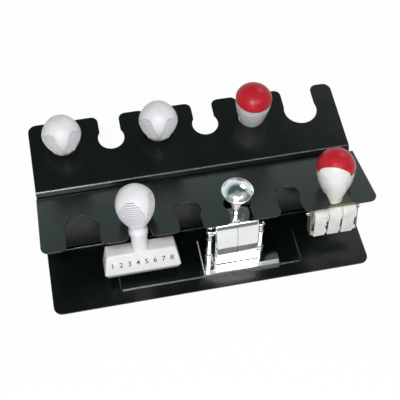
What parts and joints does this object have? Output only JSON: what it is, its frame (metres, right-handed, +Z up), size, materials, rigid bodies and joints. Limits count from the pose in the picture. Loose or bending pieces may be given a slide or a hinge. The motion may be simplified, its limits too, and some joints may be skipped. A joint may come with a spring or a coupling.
{
  "type": "desk stamp rack",
  "caption": "Two-row rack of bent black sheet with keyhole slots that hold knob stamps, a date stamp and a numbering machine",
  "frame": {"origin": "below the middle of the whole rack, on the surface that it stands on", "axes": "+X along the rack to the right, +Y to its back, +Z up"},
  "size_m": [0.3032, 0.171, 0.111],
  "materials": {
    "black_steel": "satin black powder coat",
    "rivet_steel": "black, as the sheets",
    "foot_rubber": "matt",
    "grey_plastic": "satin with ribbed finger recesses",
    "white_plastic": "semi-gloss",
    "red_plastic": "gloss",
    "label": "printed with plain numbers",
    "cushion_foam": "soft",
    "die_rubber": "moulded",
    "olive_metal": "satin",
    "bright_steel": "bright",
    "band_rubber": "moulded characters",
    "chrome": "polished",
    "wheel_steel": "engraved with plain numbers"
  },
  "bodies": {
    "rack": {"rear_shelf": "black_steel", "front_shelf": "black_steel", "base_plate": "black_steel", "base_rivets": "rivet_steel", "shelf_rivets": "rivet_steel", "rubber_feet": "foot_rubber"},
    "front_stamp": {"front_stamp_knob": "grey_plastic", "front_stamp_block": "white_plastic", "front_stamp_label": "label", "front_stamp_cushion": "cushion_foam", "front_stamp_die": "die_rubber"},
    "rear_left_stamp": {"rear_left_stamp_knob": "grey_plastic", "rear_left_stamp_block": "white_plastic", "rear_left_stamp_label": "label", "rear_left_stamp_cushion": "cushion_foam", "rear_left_stamp_die": "die_rubber"},
    "rear_middle_stamp": {"rear_middle_stamp_knob": "grey_plastic", "rear_middle_stamp_block": "white_plastic", "rear_middle_stamp_label": "label", "rear_middle_stamp_cushion": "cushion_foam", "rear_middle_stamp_die": "die_rubber"},
    "red_stamp": {"red_stamp_grip": "white_plastic", "red_stamp_cap": "red_plastic", "red_stamp_block": "white_plastic", "red_stamp_label": "label", "red_stamp_cushion": "cushion_foam", "red_stamp_die": "die_rubber"},
    "date_stamp": {"date_stamp_grip": "white_plastic", "date_stamp_cap": "red_plastic", "date_stamp_frame": "olive_metal", "date_stamp_axle": "bright_steel", "date_stamp_nuts": "bright_steel", "date_stamp_shoe": "bright_steel", "date_stamp_bands": "band_rubber"},
    "day_wheel": {"date_stamp_day_wheel": "white_plastic"},
    "month_wheel": {"date_stamp_month_wheel": "white_plastic"},
    "year_wheel": {"date_stamp_year_wheel": "white_plastic"},
    "machine": {"machine_foot": "chrome", "machine_casing": "chrome", "machine_columns": "chrome", "machine_collar": "chrome", "spring_bridge": "bright_steel", "lever_pin": "chrome", "return_spring": "bright_steel"},
    "plunger": {"plunger_rod": "chrome", "machine_knob": "chrome", "wheel_carriage": "bright_steel", "number_axle": "bright_steel"},
    "number_wheel_1": {"number_wheel_1": "wheel_steel"},
    "number_wheel_2": {"number_wheel_2": "wheel_steel"},
    "number_wheel_3": {"number_wheel_3": "wheel_steel"},
    "number_wheel_4": {"number_wheel_4": "wheel_steel"},
    "number_wheel_5": {"number_wheel_5": "wheel_steel"},
    "number_wheel_6": {"number_wheel_6": "wheel_steel"},
    "lever": {"selector_lever": "chrome"}
  },
  "joints": [
    {"name": "front_stamp_lift", "type": "slide", "parent": "rack", "child": "front_stamp", "axis": [0, 0.2521, 0.9677], "range_m": [0, 0.02]},
    {"name": "rear_left_stamp_lift", "type": "slide", "parent": "rack", "child": "rear_left_stamp", "axis": [0, -0.1028, 0.9947], "range_m": [0, 0.02]},
    {"name": "rear_middle_stamp_lift", "type": "slide", "parent": "rack", "child": "rear_middle_stamp", "axis": [0, -0.1028, 0.9947], "range_m": [0, 0.02]},
    {"name": "red_stamp_lift", "type": "slide", "parent": "rack", "child": "red_stamp", "axis": [0, -0.1028, 0.9947], "range_m": [0, 0.012]},
    {"name": "date_stamp_lift", "type": "slide", "parent": "rack", "child": "date_stamp", "axis": [0, 0.2521, 0.9677], "range_m": [0, 0.012]},
    {"name": "day_wheel_turn", "type": "hinge", "parent": "date_stamp", "child": "day_wheel", "pos_m": [0.1185, -0.04638, 0.04368], "axis": [1, 0, 0], "continuous": true},
    {"name": "month_wheel_turn", "type": "hinge", "parent": "date_stamp", "child": "month_wheel", "pos_m": [0.1185, -0.04638, 0.04368], "axis": [1, 0, 0], "continuous": true},
    {"name": "year_wheel_turn", "type": "hinge", "parent": "date_stamp", "child": "year_wheel", "pos_m": [0.1185, -0.04638, 0.04368], "axis": [1, 0, 0], "continuous": true},
    {"name": "machine_slide", "type": "slide", "parent": "rack", "child": "machine", "axis": [0, -1, 0], "range_m": [0, 0.06]},
    {"name": "plunger_press", "type": "slide", "parent": "machine", "child": "plunger", "axis": [0, 0, -1], "range_m": [0, 0.008], "stiffness_N_per_m": 800, "springref_m": -0.006, "deforming": ["return_spring"]},
    {"name": "number_wheel_1_turn", "type": "hinge", "parent": "plunger", "child": "number_wheel_1", "pos_m": [0.0239, -0.04739, 0.022], "axis": [1, 0, 0], "continuous": true},
    {"name": "number_wheel_2_turn", "type": "hinge", "parent": "plunger", "child": "number_wheel_2", "pos_m": [0.0239, -0.04739, 0.022], "axis": [1, 0, 0], "continuous": true},
    {"name": "number_wheel_3_turn", "type": "hinge", "parent": "plunger", "child": "number_wheel_3", "pos_m": [0.0239, -0.04739, 0.022], "axis": [1, 0, 0], "continuous": true},
    {"name": "number_wheel_4_turn", "type": "hinge", "parent": "plunger", "child": "number_wheel_4", "pos_m": [0.0239, -0.04739, 0.022], "axis": [1, 0, 0], "continuous": true},
    {"name": "number_wheel_5_turn", "type": "hinge", "parent": "plunger", "child": "number_wheel_5", "pos_m": [0.0239, -0.04739, 0.022], "axis": [1, 0, 0], "continuous": true},
    {"name": "number_wheel_6_turn", "type": "hinge", "parent": "plunger", "child": "number_wheel_6", "pos_m": [0.0239, -0.04739, 0.022], "axis": [1, 0, 0], "continuous": true},
    {"name": "selector_turn", "type": "hinge", "parent": "machine", "child": "lever", "pos_m": [0.0039, -0.04139, 0.0305], "axis": [1, 0, 0], "range_deg": [-60, 12]}
  ]
}
